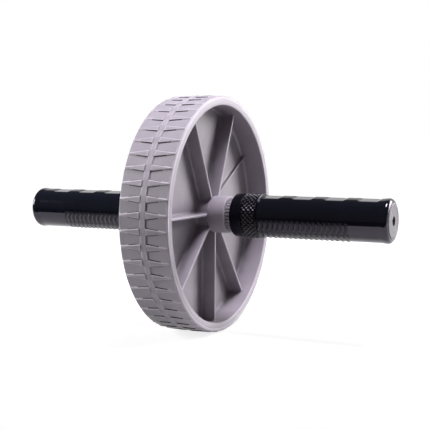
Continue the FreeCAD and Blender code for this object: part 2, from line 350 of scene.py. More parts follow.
BLUE_SHEEN = (0.92, 0.84, 1.0)
# The wheel's plastic gets painted shade up to 25 mm into its corners, which darkens the web round the hub,
# the ribs and the drum, and a painted highlight on its edges.
WHEEL_GREY = MouldedPlastic(
    "wheel_grey_plastic", "wheel_grey", (0.42, 0.375, 0.425), 0.45, edge_highlight=0.5, corner=0.68, corner_reach=25.0)
# Lighter grey painted on the rim's inner edge, the ribs' free edges and the boss's edges, as a painted
# highlight.
WHEEL_HIGHLIGHT = MouldedPlastic("wheel_painted_highlight", "wheel_grey", (0.51, 0.465, 0.52), 0.4, edge_highlight=0.2, corner=0.4)
# The tread gets a strong painted highlight on edges that stick out, and painted shade in the crevices at
# the cleats' feet.
TYRE_GREY = MouldedPlastic(
    "tyre_grey_rubber", "tyre_grey", (0.42, 0.38, 0.43), 0.5, grain_height=0.05, edge_highlight=1.3, corner=0.3,
    corner_reach=0.8)
# Pale grey painted on the cleats' bevels and on the tread's shoulders, as a painted highlight.
TYRE_HIGHLIGHT = MouldedPlastic("tyre_painted_highlight", "tyre_grey", (0.61, 0.555, 0.62), 0.45, grain_height=0.05)
# Near-black painted on the cleats' walls, as painted shade under each cleat.
CLEAT_SHADE = MouldedPlastic(
    "tyre_painted_shade_wall", "tyre_grey", (0.05, 0.045, 0.05), 0.7, grain_height=0.05, edge_highlight=0.2)
# The spacer gets strong painted shade in its notches, as well as the painted edge highlight.
SPACER_GREY = MouldedPlastic(
    "spacer_grey_plastic", "spacer_grey", (0.38, 0.35, 0.38), 0.38, corner=0.85, corner_reach=1.6)
CAP_GREY = MouldedPlastic("cap_grey_plastic", "cap_grey", (0.27, 0.246, 0.277), 0.55)
GRIP_BLACK = MouldedPlastic(
    "grip_gloss_black", "grip_black", (0.003, 0.0045, 0.0095), 0.07, clouding=0.15, gloss_spread=0.02,
    grain_size=2.5, grain_height=0.02, grain_strength=0.08, sheen=BLUE_SHEEN)
PAD_BLACK = MouldedPlastic(
    "grip_pad_black", "grip_black", (0.004, 0.0045, 0.008), 0.3, clouding=0.2, gloss_spread=0.05,
    specular=0.3, sheen=BLUE_SHEEN)
# Lighter grey painted on the crests of the pad's scales, as a painted highlight.
PAD_HIGHLIGHT = MouldedPlastic(
    "grip_pad_painted_highlight", "grip_black", (0.06, 0.056, 0.066), 0.4, clouding=0.2, specular=0.3)
KNURL_BLACK = MouldedPlastic(
    "knurl_satin_black", "knurl_black", (0.003, 0.0033, 0.006), 0.2, clouding=0.2, gloss_spread=0.03,
    specular=0.2, sheen=BLUE_SHEEN)
# Lighter grey painted on the tips of the knurl's diamonds, as a painted highlight.
KNURL_HIGHLIGHT = MouldedPlastic(
    "knurl_painted_highlight", "knurl_black", (0.085, 0.08, 0.09), 0.3, clouding=0.2, specular=0.25)
FLANGE_BLACK = MouldedPlastic(
    "flange_satin_black", "flange_black", (0.004, 0.0042, 0.0075), 0.3, clouding=0.2, specular=0.12,
    sheen=BLUE_SHEEN)
# Near-black painted in the key hole and its chamfer, as painted shade.
HOLE_SHADE = MouldedPlastic("key_hole_shade", "cap_grey", (0.006, 0.006, 0.007), 0.6, specular=0.1)
BUSH_WHITE = MouldedPlastic("bush_nylon", "bush_white", (0.60, 0.58, 0.59), 0.4)
AXLE_STEEL = TurnedSteel("axle_steel", "steel", (0.60, 0.60, 0.62), 0.28)
SCREW_STEEL = TurnedSteel("screw_dark_steel", "steel", (0.18, 0.18, 0.19), 0.34)


def axle_point(along: float, radius: float, turn: float) -> Vector:
    """Point in metres, from lengths in millimetres and its turn from up to the front in radians."""
    return Vector((along, -radius * math.sin(turn), radius * math.cos(turn))) * MM


def full_turn(count: int) -> list[float]:
    """Angles at even steps round the axle, in radians."""
    return [math.tau * step / count for step in range(count)]


def plain_rings(outline: Outline, turns: Sequence[float]) -> list[list[Vector]]:
    """One ring of points for each pair of station and radius."""
    return [[axle_point(along, radius, turn) for turn in turns] for along, radius in outline]


def face_place(face: Face) -> tuple[float, float, float]:
    """Station, radius and turn of a face's middle, with the station alike on both sides."""
    along, back, up = face.center / MM
    return abs(along), math.hypot(back, up), math.atan2(-back, up)


def from_below(turn: float) -> float:
    """Angle from straight down, in degrees, for a turn from straight up in radians."""
    return math.degrees(turn % math.tau - math.pi)


def smooth_step(low: float, high: float, value: float) -> float:
    """Ease from 0 at low to 1 at high."""
    share = min(max((value - low) / (high - low), 0.0), 1.0)
    return share * share * (3.0 - 2.0 * share)


def soft_least(first: float, second: float, blend: float) -> float:
    """The smaller of two lengths, with the corner between them rounded."""
    share = max(blend - abs(first - second), 0.0) / blend
    return min(first, second) - share * share * blend / 4.0


@dataclass(frozen=True)
class Corner:
    """A corner of a turned outline, with the radius that rounds it."""

    along: float
    radius: float
    rounding: float = 0.0


def rounded_outline(corners: Sequence[Corner], steps: int = 5) -> Outline:
    """Round the corners of a closed outline.

    Args:
        corners: The outline's corners in order.
        steps: Points on each rounded corner, less one.

    Returns:
        Pairs of station and radius along the rounded outline.
    """
    points: Outline = []
    for index, corner in enumerate(corners):
        here = Vector((corner.along, corner.radius))
        if not corner.rounding:
            points.append((here.x, here.y))
            continue
        before, after = corners[index - 1], corners[(index + 1) % len(corners)]
        back = (Vector((before.along, before.radius)) - here).normalized()
        onward = (Vector((after.along, after.radius)) - here).normalized()
        half = back.angle(onward) / 2.0
        middle = here + (back + onward).normalized() * (corner.rounding / math.sin(half))
        start = here + back * (corner.rounding / math.tan(half)) - middle
        end = here + onward * (corner.rounding / math.tan(half)) - middle
        for step in range(steps + 1):
            spoke = start.slerp(end, step / steps).normalized() * corner.rounding + middle
            points.append((spoke.x, spoke.y))
    return points


class MeshBuilder:
    """Collects the sheets of one piece and makes its object."""

    def __init__(self) -> None:
        """Start with no points."""
        self.points: list[Vector] = []
        self.faces: list[tuple[int, ...]] = []

    def add_rings(self, rings: Sequence[Sequence[Vector]], joined: bool = True) -> None:
        """Join rings of points, each one closed, into a skin.

        Args:
            rings: Rings with the same number of points.
            joined: Whether the last ring meets the first, or else both are capped.
        """
        first = len(self.points)
        count = len(rings[0])
        for ring in rings:
            self.points.extend(ring)
        pairs = len(rings) if joined else len(rings) - 1
        for row in range(pairs):
            low = first + row * count
            high = first + (row + 1) % len(rings) * count
            for column in range(count):
                beside = (column + 1) % count
                self.faces.append((low + column, low + beside, high + beside, high + column))
        if not joined:
            last = first + (len(rings) - 1) * count
            self.faces.append(tuple(first + column for column in range(count)))
            self.faces.append(tuple(last + column for column in reversed(range(count))))

    def add_turned(self, outline: Outline, count: int) -> None:
        """Turn a closed outline about the axle."""
        self.add_rings(plain_rings(outline, full_turn(count)))

    def make(self, name: str, body: Body, replaced: str, sharp: float, finishes: Sequence[Finish],
             choose: FinishChoice | None = None) -> None:
        """Make the piece, dress it and set it on its body.

        Args:
            name: The piece's name.
            body: The rigid body that it rides on.
            replaced: The plain node that it stands for.
            sharp: Edges that turn by more than this angle stay sharp.
            finishes: Its finishes, with the main one first.
            choose: Picks the finish of a face, for a piece with several.
        """
        mesh = bpy.data.meshes.new(name)
        mesh.from_pydata(self.points, [], self.faces)
        shape = bmesh.new()
        shape.from_mesh(mesh)
        bmesh.ops.recalc_face_normals(shape, faces=shape.faces)
        for face in shape.faces:
            face.smooth = True
        shape.to_mesh(mesh)
        shape.free()
        mesh.set_sharp_from_angle(angle=math.radians(sharp))
        for finish in finishes:
            mesh.materials.append(finish.material())
        if choose:
            for face in mesh.polygons:
                face.material_index = finishes.index(choose(face))
        piece = bpy.data.objects.new(name, mesh)
        bpy.context.scene.collection.objects.link(piece)
        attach(piece, body.value)
        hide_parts(replaced)
        log.info("%s: %d faces", name, len(mesh.polygons))


def node_span(node: str) -> tuple[float, float, float]:
    """Read a turned node's place from the frame.

    Args:
        node: Name of a node that lies round the axle.

    Returns:
        Its stations nearest to and furthest from the wheel's middle, and its largest radius.
    """
    low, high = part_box(node)
    near, far = sorted((abs(low.x) / MM, abs(high.x) / MM))
    return near, far, high.z / MM


@dataclass
class Tyre:
    """Ring of tread: raised wedges in two rows beside a plain centre rib."""

    count: int = 50
    cleat_height: float = 1.0
    tip_share: float = 0.6
    root_width: float = 4.9
    tip_width: float = 0.9
    tip_margin: float = 1.0
    foot_share: float = 0.85
    foot_run: float = 1.2
    row_shares: tuple[float, ...] = (0.35, 0.6, 0.8)
    rib_half: float = 2.5
    rib_drop: float = 0.4
    rib_round: float = 0.5
    bore: float = 86.5
    bore_edge: float = 0.15
    shoulder: float = 1.2
    shoulder_steps: int = 5
    wall_run: float = 0.42
    wall_slope: float = 0.6
    edge_run: float = 0.55
    edge_share: float = 0.68
    edge_band: float = 0.35
    crest_share: float = 0.25
    bevel_slope: float = 0.93
    bevel_lean: float = 0.3
    sharp: float = 24.0
    radius: float = field(init=False)
    half: float = field(init=False)
    tip: float = field(init=False)

    def __post_init__(self) -> None:
        """Take the tyre's own size from the frame."""
        _, self.half, self.radius = node_span("tread_tyre")
        self.tip = self.half - self.tip_margin

    def plain_radius(self, along: float) -> float:
        """Radius of the tread between its cleats, centre rib included."""
        step = smooth_step(self.rib_half + self.rib_round / 2, self.rib_half - self.rib_round, along)
        return self.radius - self.cleat_height + (self.cleat_height - self.rib_drop) * step

    def toward_tip(self, along: float) -> float:
        """0 at a cleat's root, beside the centre rib, and 1 at its tip."""
        return min(max((along - self.rib_half) / (self.tip - self.rib_half), 0.0), 1.0)

    def column(self, along: float) -> Outline:
        """Lay out one cleat across the tread.

        Args:
            along: Distance from the tyre's middle.

        Returns:
            Pairs of distance round the tread and share of the cleat's height.
        """
        half = (self.root_width + (self.tip_width - self.root_width) * self.toward_tip(along)) / 2.0
        pitch = math.tau * self.radius / self.count
        crest = half - min(self.edge_run, self.edge_share * half)
        rise = [(half + self.wall_run, 0.0), (half, self.edge_share), (crest, 1.0)]
        rise.append((max(crest - self.edge_band, crest * self.crest_share), 1.0))
        return [(-pitch / 2.0, 0.0)] + [(-place, height) for place, height in rise] + rise[::-1]

    def ring(self, along: float, height: float, drop: float) -> list[Vector]:
        """Lay out one row of points round the tread.

        Args:
            along: Station of the row.
            height: Share of the cleat's height that the row reaches.
            drop: How far the row lies below the tread's base.

        Returns:
            The row's points.
        """
        base = self.radius - self.cleat_height - drop
        plain = self.plain_radius(abs(along)) - drop
        height *= 1.0 - (1.0 - self.tip_share) * self.toward_tip(abs(along))
        row = []
        for cleat in range(self.count):
            middle = math.pi + math.tau * cleat / self.count
            for place, share in self.column(abs(along)):
                radius = max(base + self.cleat_height * share * height, plain)
                row.append(axle_point(along, radius, middle + place / self.radius))
        return row

    def finish_at(self, face: Face) -> Finish:
        """Choose the finish of one face.

        Args:
            face: A face of the tyre.

        Returns:
            The finish of a cleat's wall with painted shade, of a bevel or shoulder with a painted
            highlight, or of the plain tread.
        """
        along, radius, turn = face_place(face)
        outside = radius > self.radius - self.cleat_height
        facing, lean = face.normal.dot(axle_point(0.0, 1.0, turn).normalized()), abs(face.normal.x)
        # Cleat walls get painted shade; bevels and the shoulders get a painted highlight.
        if outside and facing < self.wall_slope and lean < self.wall_slope:
            return CLEAT_SHADE
        bevel = outside and facing < self.bevel_slope and lean < self.bevel_lean
        shoulder = along > self.half - self.shoulder
        return TYRE_HIGHLIGHT if bevel or shoulder else TYRE_GREY

    def build(self) -> None:
        """Make the tyre."""
        rib, soft, tip = self.rib_half, self.rib_round, self.tip
        crests = [(0.0, 0.0), (rib - soft, 0.0), (rib - soft / 2, 0.0), (rib, self.foot_share)]
        crests += [(rib + soft / 2, 1.0), (rib + self.foot_run, 1.0)]
        crests += [(rib + (tip - rib) * share, 1.0) for share in self.row_shares]
        crests += [(tip - self.edge_run, 1.0), (tip, self.edge_share), (tip + self.wall_run, 0.0)]
        rows = [(along, height, 0.0) for along, height in crests]
        for step in range(1, self.shoulder_steps + 1):
            turn = QUARTER_TURN * step / self.shoulder_steps
            inset, drop = self.shoulder * (1.0 - math.sin(turn)), self.shoulder * (1.0 - math.cos(turn))
            rows.append((self.half - inset, 0.0, drop))
        depth = self.radius - self.cleat_height - self.bore
        rows += [(self.half, 0.0, depth - self.bore_edge), (self.half - self.bore_edge, 0.0, depth)]
        right = [self.ring(along, height, drop) for along, height, drop in rows]
        left = [self.ring(-along, height, drop) for along, height, drop in rows[1:]]
        builder = MeshBuilder()
        builder.add_rings(right + left[::-1])
        builder.make("tread_ring", Body.WHEEL, "tread_tyre", self.sharp,
                     (TYRE_GREY, CLEAT_SHADE, TYRE_HIGHLIGHT), self.finish_at)


@dataclass
class WheelBody:
    """Moulded wheel: hub, thin web, drum rim and ribs on both sides."""

    rib_turns: tuple[float, ...] = (25.0, 89.0, 133.0, 179.0, 216.0, 259.0, 300.0, 336.0)
    low_ribs: tuple[int, ...] = (6,)
    rib_reach: float = 12.2
    low_rib_reach: float = 3.9
    rib_thickness: float = 1.7
    rib_draft: float = 0.5
    rib_edge: float = 0.55
    rib_sink: float = 1.0
    edge_turns: tuple[float, ...] = (30.0, 60.0, 90.0)
    root_round: float = 1.5
    root_steps: tuple[float, ...] = (0.02, 0.12, 0.3, 0.6, 1.0)
    depth_steps: tuple[float, ...] = (0.0, 0.05, 0.2, 0.45, 0.7, 1.0)
    web_half: float = 1.3
    hub_radius: float = 14.0
    hub_bore: float = 11.52
    hub_round: float = 0.6
    neck_radius: float = 12.5
    neck_end: float = 11.8
    boss_round: float = 0.5
    rim_bore: float = 82.5
    rim_radius: float = 86.48
    rim_round: float = 0.7
    seam_round: float = 0.2
    corner_round: float = 2.2
    corner_steps: int = 6
    count: int = 240
    sharp: float = 40.0
    hub_half: float = field(init=False)
    rim_half: float = field(init=False)

    def __post_init__(self) -> None:
        """Take the hub's length and the rim's width from the frame."""
        _, self.hub_half, _ = node_span("wheel_body")
        _, self.rim_half, _ = node_span("tread_tyre")

    def turned(self) -> Outline:
        """Draw the outline of the hub, web and rim.

        Returns:
            Pairs of station and radius.
        """
        half = [
            Corner(self.hub_half, self.hub_bore),
            Corner(self.hub_half, self.hub_radius, self.hub_round),
            Corner(self.neck_end, self.hub_radius, self.boss_round),
            Corner(self.neck_end, self.neck_radius),
            Corner(self.web_half, self.neck_radius, self.corner_round),
            Corner(self.web_half, self.rim_bore, self.corner_round),
            Corner(self.rim_half, self.rim_bore, self.rim_round),
            Corner(self.rim_half, self.rim_radius, self.seam_round),
        ]
        other = [Corner(-corner.along, corner.radius, corner.rounding) for corner in reversed(half)]
        return rounded_outline(half + other, self.corner_steps)

    def half_width(self, along: float, reach: float, gap: float) -> float:
        """Half of a rib's thickness at one point of its side.

        Args:
            along: Distance from the web's middle.
            reach: Distance from the web's middle to the rib's free edge.
            gap: Distance to the nearer of the hub and the drum.

        Returns:
            Half of the thickness, with the flare of the rib's roots.
        """
        lean = self.rib_draft * (reach - along) / reach
        flare = 0.0
        for distance in (along - self.web_half, gap):
            inside = min(max(self.root_round - distance, 0.0), self.root_round)
            flare += self.root_round - math.sqrt(self.root_round ** 2 - inside ** 2)
        return (self.rib_thickness + lean) / 2.0 + flare

    def rib(self, turn: float, reach: float, side: int) -> list[list[Vector]]:
        """Rings of points along one rib, on one side of the web.

        Args:
            turn: The rib's angle from straight up towards the front.
            reach: Distance from the web's middle to the rib's free edge.
            side: 1 or -1, for the side of the web.

        Returns:
            Closed rings from the hub to the drum.
        """
        root, near, far = self.root_round, self.neck_radius, self.rim_bore
        stations = [near - self.rib_sink] + [near + root * step for step in self.root_steps]
        stations += [far - root * step for step in reversed(self.root_steps)] + [far + self.rib_sink]
        depths = [0.0] + [self.web_half + root * step for step in self.depth_steps]
        depths.append(reach - self.rib_edge)
        angle = math.radians(turn)
        across = Vector((0.0, math.cos(angle), math.sin(angle)))
        rings = []
        for station in stations:
            gap = max(min(station - near, far - station), self.root_steps[0] * root)
            flank = [(depth, self.half_width(depth, reach, gap)) for depth in depths if depth < reach]
            top = flank[-1][1]
            for edge_turn in map(math.radians, self.edge_turns):
                lift = self.rib_edge * math.sin(edge_turn)
                inset = self.rib_edge * (1.0 - math.cos(edge_turn))
                flank.append((reach - self.rib_edge + lift, top - inset))
            centre = axle_point(0.0, station, angle)
            outline = flank + [(depth, -width) for depth, width in reversed(flank)]
            rings.append([centre + Vector((side * depth * MM, 0.0, 0.0)) + across * width * MM
                          for depth, width in outline])
        return rings

    def finish_at(self, face: Face) -> Finish:
        """Choose the finish of one face.

        Args:
            face: A face of the wheel.

        Returns:
            The finish with a painted highlight on the rim's inner edge, the ribs' free edges and the boss's
            edges, or of the plain wheel.
        """
        along, radius, _ = face_place(face)
        # These edges get a painted highlight.
        rim = radius > self.rim_bore and along > self.rim_half - self.rim_round
        on_rib = self.hub_radius < radius < self.rim_bore - self.rib_edge
        free_edge = on_rib and abs(along - self.rib_reach) < self.rib_edge
        on_boss = abs(radius - self.hub_radius) < self.boss_round
        inner_end = self.neck_end < along < self.neck_end + self.boss_round
        boss_edge = on_boss and (inner_end or along > self.hub_half - self.hub_round)
        return WHEEL_HIGHLIGHT if rim or free_edge or boss_edge else WHEEL_GREY

    def build(self) -> None:
        """Make the wheel."""
        builder = MeshBuilder()
        builder.add_turned(self.turned(), self.count)
        for index, turn in enumerate(self.rib_turns):
            reach = self.low_rib_reach if index in self.low_ribs else self.rib_reach
            for side in (1, -1):
                builder.add_rings(self.rib(turn, reach, side), joined=False)
        builder.make("ribbed_wheel", Body.WHEEL, "wheel_body", self.sharp,
                     (WHEEL_GREY, WHEEL_HIGHLIGHT), self.finish_at)


@dataclass
class SpacerRing:
    """Notched ring between the hub and a handle."""

    side: Side
    bore: float = 6.02
    notch_count: int = 30
    notch_depth: float = 0.9
    notch_span: Pair = (0.24, 0.4)
    edge: float = 0.45
    edge_rows: tuple[Pair, ...] = ((0.0, 1.6), (0.3, 0.5), (1.0, 0.0))
    per_notch: int = 10
    sharp: float = 40.0

    def outer(self, turn: float, radius: float) -> float:
        """Radius of the ring's rim, sunk at each notch."""
        place = abs((turn / math.tau * self.notch_count) % 1.0 - 0.5) * 2.0
        return radius - self.notch_depth * (1.0 - smooth_step(*self.notch_span, place))

    def build(self) -> None:
        """Make the ring."""
        node = self.side.node("spacer_ring")
        near, far, radius = node_span(node)
        turns = full_turn(self.notch_count * self.per_notch)
        rows = [(near + self.edge * run, self.edge * drop) for run, drop in self.edge_rows]
        rows += [(near + far - along, drop) for along, drop in reversed(rows)]
        rings = [[axle_point(along, self.outer(turn, radius) - drop, turn) for turn in turns]
                 for along, drop in self.side.place(rows)]
        rings += plain_rings(self.side.place([(far, self.bore), (near, self.bore)]), turns)
        builder = MeshBuilder()
        builder.add_rings(rings)
        builder.make(self.side.node("serrated_spacer"), Body.HANDLE, node, self.sharp, (SPACER_GREY,))


@dataclass
class HandleCore:
    """Tube of a handle, with the plain flange that shows beside the wheel."""

    side: Side
    bore: float = 9.1
    tube: float = 11.5
    flange_round: float = 1.8
    back_round: float = 0.7
    count: int = 128
    sharp: float = 35.0

    def build(self) -> None:
        """Make the tube and its flange."""
        node = self.side.node("handle_core")
        near, far, radius = node_span(node)
        flange_end, _, _ = node_span(self.side.node("knurled_collar"))
        sign = self.side.value
        corners = [
            Corner(sign * near, self.bore),
            Corner(sign * near, radius, self.flange_round),
            Corner(sign * flange_end, radius, self.back_round),
            Corner(sign * flange_end, self.tube),
            Corner(sign * far, self.tube),
            Corner(sign * far, self.bore),
        ]
        builder = MeshBuilder()
        builder.add_turned(rounded_outline(corners), self.count)
        builder.make(self.side.node("flanged_core"), Body.HANDLE, node, self.sharp, (FLANGE_BLACK,))


@dataclass
class KnurledCollar:
    """Ring with a diamond knurl between two thin rims."""

    side: Side
    bore: float = 11.56
    rim_width: float = 1.1
    rim_round: float = 0.35
    rim_soft: float = 0.3
    rim_fall: float = 0.6
    band_drop: float = 0.6
    diamonds: int = 30
    diamond_rows: int = 3
    diamond_height: float = 0.55
    flank: Pair = (0.08, 0.75)
    tip_share: float = 0.8
    per_diamond: int = 12
    sharp: float = 50.0
    near: float = field(init=False)
    far: float = field(init=False)
    radius: float = field(init=False)
    floor: float = field(init=False)
    band: Pair = field(init=False)

    def __post_init__(self) -> None:
        """Take the collar's place and radius from the frame."""
        self.near, self.far, self.radius = node_span(self.side.node("knurled_collar"))
        self.floor = self.radius - self.band_drop
        self.band = (self.near + self.rim_width, self.far - self.rim_width)

    def height(self, across: float, turn: float) -> float:
        """Height of the knurl, as a share, at one place of the band.

        Args:
            across: Share of the band's width.
            turn: Angle round the axle, in radians.

        Returns:
            1 on the tip of a diamond and 0 in the grooves.
        """
        helix = turn / math.tau * self.diamonds
        waves = [helix + across * self.diamond_rows, helix - across * self.diamond_rows]
        slopes = [1.0 - abs((wave % 1.0) - 0.5) * 2.0 for wave in waves]
        return smooth_step(*self.flank, min(slopes))

    def finish_at(self, face: Face) -> Finish:
        """Choose the finish of one face.

        Args:
            face: A face of the collar.

        Returns:
            The finish of a diamond's tip, with a painted highlight, or of the plain collar.
        """
        along, radius, turn = face_place(face)
        start, end = self.band
        share = (along - start) / (end - start)
        knurled = 0.0 < share < 1.0 and radius > self.floor
        return KNURL_HIGHLIGHT if knurled and self.height(share, turn) > self.tip_share else KNURL_BLACK

    def build(self) -> None:
        """Make the collar."""
        turns = full_turn(self.diamonds * self.per_diamond)
        steps = self.diamond_rows * self.per_diamond
        start, end = self.band
        soft = self.rim_round
        rim = [
            (self.near, self.radius - soft),
            (self.near + soft * self.rim_soft, self.radius - soft * self.rim_soft),
            (self.near + soft, self.radius),
            (start - soft * self.rim_fall, self.radius),
            (start, self.floor),
        ]
        rings = plain_rings(self.side.place(rim), turns)
        for share in (step / steps for step in range(1, steps)):
            along = self.side.value * (start + (end - start) * share)
            heights = [self.floor + self.diamond_height * self.height(share, turn) for turn in turns]
            rings.append([axle_point(along, height, turn) for height, turn in zip(heights, turns)])
        rest = [(self.near + self.far - along, radius) for along, radius in reversed(rim)]
        rest += [(self.far, self.bore), (self.near, self.bore)]
        rings += plain_rings(self.side.place(rest), turns)
        builder = MeshBuilder()
        builder.add_rings(rings)
        builder.make(self.side.node("diamond_collar"), Body.HANDLE, self.side.node("knurled_collar"),
                     self.sharp, (KNURL_BLACK, KNURL_HIGHLIGHT), self.finish_at)


@dataclass
class Grip:
    """Glossy sleeve with finger scoops above and a scaled pad below."""

    side: Side
    scoop_margin: float
    pad_length: float
    bore: float = 11.55
    mouth_radius: float = 12.95
    mouth_depth: float = 2.0
    skin: float = 1.0
    rim_height: float = 0.4
    rim_width: float = 3.0
    rim_run: float = 5.0
    end_round: float = 2.9
    end_steps: int = 9
    scoop_count: int = 4
    scoop_pitch: float = 24.65
    scoop_floor: float = 12.6
    scoop_slope: float = 2.6
    scoop_depth: float = 1.05
    scoop_tilt: float = 7.0
    scoop_soft: float = 0.3
    scoop_facing: float = 0.5
    pad_half_turn: float = 84.0
    pad_pitch: float = 4.0
    pad_rows: int = 5
    pad_height: float = 0.42
    pad_sink: float = 0.12
    pad_border: Pair = (80.5, 87.5)
    pad_end: float = 0.5
    pad_lean: float = 0.3
    pad_bow: float = 0.4
    pad_tip: Pair = (0.6, 1.0)
    pad_ridge: Pair = (0.12, 0.55)
    dress_share: float = 0.5
    step: float = 0.5
    count: int = 176
    sharp: float = 50.0
    near: float = field(init=False)
    far: float = field(init=False)
    rim_radius: float = field(init=False)

    def __post_init__(self) -> None:
        """Take the grip's length and its rim's radius from the frame."""
        self.near, self.far, _ = node_span(self.side.node("grip"))
        low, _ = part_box(self.side.node("grip"))
        self.rim_radius = -low.z / MM

    def sleeve(self, along: float) -> float:
        """Give the sleeve's radius before its scoops, with the flared rim at its end.

        Args:
            along: Station along the axle.

        Returns:
            The radius there.
        """
        start = self.far - self.rim_width
        radius = self.rim_radius - self.rim_height
        radius += self.rim_height * smooth_step(start - self.rim_run, start, along)
        over = max(along - (self.far - self.end_round), 0.0)
        return radius - self.end_round + math.sqrt(max(self.end_round ** 2 - over ** 2, 0.0))

    def scooped(self, along: float, turn: float) -> float:
        """Radius of the sleeve with its scoops cut.

        Args:
            along: Station along the axle.
            turn: Angle from straight up towards the front, in radians.

        Returns:
            The radius there.
        """
        radius = self.sleeve(along)
        facing = math.cos(turn - math.radians(self.scoop_tilt))
        if facing < self.scoop_facing:
            return radius
        first = self.far - self.scoop_margin
        off = min(abs(along - first + self.scoop_pitch * index) for index in range(self.scoop_count))
        rise = max(off - self.scoop_floor / 2.0, 0.0) / self.scoop_slope
        plain = self.rim_radius - self.rim_height
        flat = (plain - self.scoop_depth * (1.0 - rise)) / facing
        return soft_least(radius, flat, self.scoop_soft)

    def pad_share(self, along: float, turn: float) -> float:
        """1 inside the pad below the sleeve and 0 outside it, with a narrow border between."""
        past_end = smooth_step(-self.pad_end, self.pad_end, along - self.near - self.pad_length)
        return (1.0 - smooth_step(*self.pad_border, abs(from_below(turn)))) * (1.0 - past_end)

    def scale(self, along: float, turn: float) -> float:
        """Height of the pad's scales, as a share, at one place.

        Args:
            along: Station along the axle.
            turn: Angle from straight up towards the front, in radians.

        Returns:
            1 on the crest of a scale and 0 between scales.
        """
        row = (from_below(turn) + self.pad_half_turn) / (2.0 * self.pad_half_turn) * self.pad_rows
        stagger = 0.5 * (math.floor(row) % 2)
        up = 2.0 * (row % 1.0) - 1.0
        curve = self.side.value * self.pad_lean * up + self.pad_bow * up * up
        ridge = abs((((along - self.near) / self.pad_pitch + stagger + curve) % 1.0) - 0.5) * 2.0
        tip = 1.0 - smooth_step(*self.pad_tip, abs(up))
        return (1.0 - smooth_step(*self.pad_ridge, ridge)) * tip

    def surface(self, along: float, turn: float) -> float:
        """Radius of the finished grip, with its scoops and its pad."""
        relief = self.pad_height * self.scale(along, turn) - self.pad_sink
        return self.scooped(along, turn) + self.pad_share(along, turn) * relief

    def finish_at(self, face: Face) -> Finish:
        """Choose the finish of one face.

        Args:
            face: A face of the grip.

        Returns:
            The finish of a scale's crest with its painted highlight, of the pad or of the glossy sleeve.
        """
        along, radius, turn = face_place(face)
        outside = radius > self.mouth_radius + self.skin
        if not outside or self.pad_share(along, turn) <= self.dress_share:
            return GRIP_BLACK
        return PAD_HIGHLIGHT if self.scale(along, turn) > self.dress_share else PAD_BLACK

    def build(self) -> None:
        """Make the grip, with the pad in its own satin finish."""
        turns = full_turn(self.count)
        length = self.far - self.near - self.end_round
        steps = round(length / self.step)
        stations = [self.near + length * step / steps for step in range(steps + 1)]
        for step in range(1, self.end_steps + 1):
            bend = math.sin(QUARTER_TURN * step / self.end_steps)
            stations.append(self.far - self.end_round * (1.0 - bend))
        rings = [[axle_point(self.side.value * along, self.surface(along, turn), turn) for turn in turns]
                 for along in stations]
        seat, mouth = self.far - self.mouth_depth, self.mouth_radius
        inside = [(self.far, mouth), (seat, mouth), (seat, self.bore), (self.near, self.bore)]
        rings += plain_rings(self.side.place(inside), turns)
        builder = MeshBuilder()
        builder.add_rings(rings)
        builder.make(self.side.node("scooped_grip"), Body.HANDLE, self.side.node("grip"), self.sharp,
                     (GRIP_BLACK, PAD_BLACK, PAD_HIGHLIGHT), self.finish_at)


@dataclass
class EndCap:
    """Grey disc that closes a handle, with a key hole in its middle."""

    side: Side
    hole: float = 2.4
    hole_flare: float = 1.1
    spigot: float = 9.0
    edge_round: float = 0.4
    dish_radius: float = 10.6
    dish_run: float = 0.6
    dish_depth: float = 0.12
    dish_round: float = 0.2
    count: int = 128
    sharp: float = 35.0

    def finish_at(self, face: Face) -> Finish:
        """The finish of one face, painted shade in the key hole and grey elsewhere."""
        _, radius, _ = face_place(face)
        return HOLE_SHADE if radius < self.hole + self.hole_flare else CAP_GREY

    def build(self) -> None:
        """Make the cap."""
        near, far, radius = node_span(self.side.node("end_cap"))
        _, seat, _ = node_span(self.side.node("handle_core"))
        sign = self.side.value
        dish = far - self.dish_depth
        corners = [
            Corner(sign * near, self.hole),
            Corner(sign * near, self.spigot),
            Corner(sign * seat, self.spigot),
            Corner(sign * seat, radius),
            Corner(sign * far, radius, self.edge_round),
            Corner(sign * far, self.dish_radius, self.dish_round),
            Corner(sign * dish, self.dish_radius - self.dish_run, self.dish_round),
            Corner(sign * dish, self.hole + self.hole_flare, self.dish_round),
            Corner(sign * (dish - self.hole_flare), self.hole, self.dish_round),
        ]
        builder = MeshBuilder()
        builder.add_turned(rounded_outline(corners), self.count)
        builder.make(self.side.node("capped_end"), Body.HANDLE, self.side.node("end_cap"), self.sharp,
                     (CAP_GREY, HOLE_SHADE), self.finish_at)


@dataclass
class InnerFittings:
    """Axle, bushes and fasteners, which keep their plain shapes and get their own finishes."""

    finishes: dict[str, Finish] = field(default_factory=lambda: {
        "hub_bush": BUSH_WHITE,
        "retaining_ring": SCREW_STEEL,
        "cap_washer": AXLE_STEEL,
        "cap_screw": SCREW_STEEL,
    })

    def build(self) -> None:
        """Dress every inner fitting."""
        pairs = [("axle_rod", AXLE_STEEL)]
        pairs += [(side.node(stem), finish) for stem, finish in self.finishes.items() for side in Side]
        for node, finish in pairs:
            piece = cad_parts[node]
            piece.data.materials.clear()
            piece.data.materials.append(finish.material())
            log.info("%s: %s", node, finish.name)


